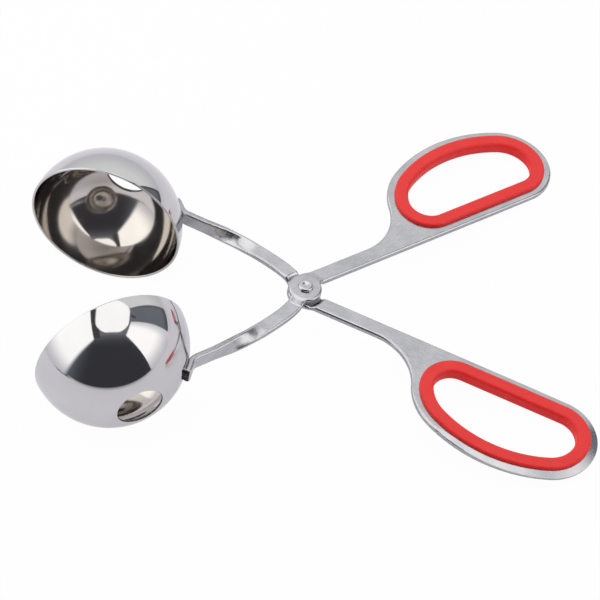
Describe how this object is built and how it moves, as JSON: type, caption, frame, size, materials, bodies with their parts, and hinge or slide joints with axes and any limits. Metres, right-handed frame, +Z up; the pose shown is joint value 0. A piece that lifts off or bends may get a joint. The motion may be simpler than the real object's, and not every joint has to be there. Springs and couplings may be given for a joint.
{
  "type": "meatball tongs",
  "caption": "Scissor tongs with two hollow half-ball cups on crossed steel arms, riveted at the middle, with a soft grip ring in each finger loop.",
  "frame": {"origin": "centre of the open tongs' bounding box, at the level of the table they lie on", "axes": "+Z up from the table, +X from the cups towards the finger loops along the middle line, +Y towards the finger loop of the top arm"},
  "size_m": [0.1968, 0.1602, 0.0569],
  "materials": {
    "satin_steel": "satin stamped stainless steel",
    "rivet_steel": "tumbled steel",
    "mirror_steel": "mirror-polished stainless steel",
    "red_grip": "satin soft red moulding"
  },
  "bodies": {
    "top_half": {"top_arm": "satin_steel", "top_arm_cup": "mirror_steel", "top_arm_grip": "red_grip", "pivot_rivet": "rivet_steel"},
    "bottom_half": {"bottom_arm": "satin_steel", "bottom_arm_cup": "mirror_steel", "bottom_arm_grip": "red_grip"}
  },
  "joints": [
    {"name": "squeeze", "type": "hinge", "parent": "top_half", "child": "bottom_half", "pos_m": [-0.00106, 0, 0.01749], "axis": [0.1532, 0, 0.9882], "range_deg": [-20, 42.6]}
  ]
}
